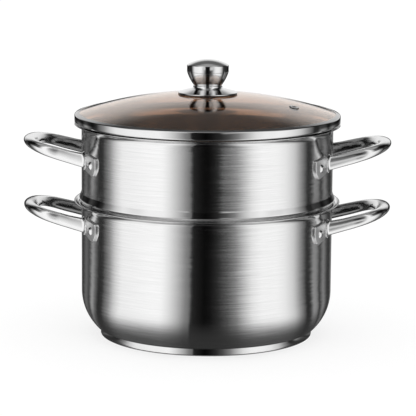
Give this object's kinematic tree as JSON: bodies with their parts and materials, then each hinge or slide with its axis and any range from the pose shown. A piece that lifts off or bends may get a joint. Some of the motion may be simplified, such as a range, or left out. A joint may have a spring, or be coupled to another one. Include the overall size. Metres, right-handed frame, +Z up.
{
  "type": "steamer pot",
  "caption": "Steel stockpot with a sandwich base, a perforated steamer tier and a domed glass lid with a round knob; loop handles on both tiers",
  "frame": {"origin": "centre of the base's underside, on the surface that the pot stands on", "axes": "+Z up along the pot's axis, +X through the right-hand handles, the front faces -Y"},
  "size_m": [0.4114, 0.298, 0.3114],
  "materials": {
    "brushed_shell": "fine level brushing round the wall",
    "polished_base": "polished stainless steel",
    "base_aluminium": "plain, sealed inside the base",
    "polished_handle": "mirror-polished stainless steel",
    "polished_rivet": "polished stainless steel",
    "lid_glass": "amber tinted tempered glass",
    "polished_rim": "polished stainless steel",
    "seal_rubber": "matt silicone",
    "polished_knob": "mirror-polished stainless steel",
    "plain_hardware": "plain turned steel"
  },
  "bodies": {
    "pot": {"pot_shell": "brushed_shell", "base_core": "base_aluminium", "base_capsule": "polished_base", "pot_handle_left": "polished_handle", "pot_handle_right": "polished_handle", "pot_rivets_left": "polished_rivet", "pot_rivets_right": "polished_rivet"},
    "steamer": {"steamer_shell": "brushed_shell", "steamer_handle_left": "polished_handle", "steamer_handle_right": "polished_handle", "steamer_rivets_left": "polished_rivet", "steamer_rivets_right": "polished_rivet"},
    "lid": {"lid_glass": "lid_glass", "lid_rim_band": "polished_rim", "lid_rim_seal": "seal_rubber", "vent_eyelet": "polished_rim", "vent_gasket": "seal_rubber", "knob_cap": "polished_knob", "knob_cup": "polished_knob", "knob_flange": "polished_knob", "knob_gasket_upper": "seal_rubber", "knob_gasket_lower": "seal_rubber", "knob_washer": "plain_hardware", "knob_insert": "plain_hardware", "knob_screw": "plain_hardware"}
  },
  "joints": [
    {"name": "steamer_lift", "type": "slide", "parent": "pot", "child": "steamer", "axis": [0, 0, 1], "range_m": [0, 0.06]},
    {"name": "lid_lift", "type": "slide", "parent": "steamer", "child": "lid", "axis": [0, 0, 1], "range_m": [0, 0.06]}
  ]
}
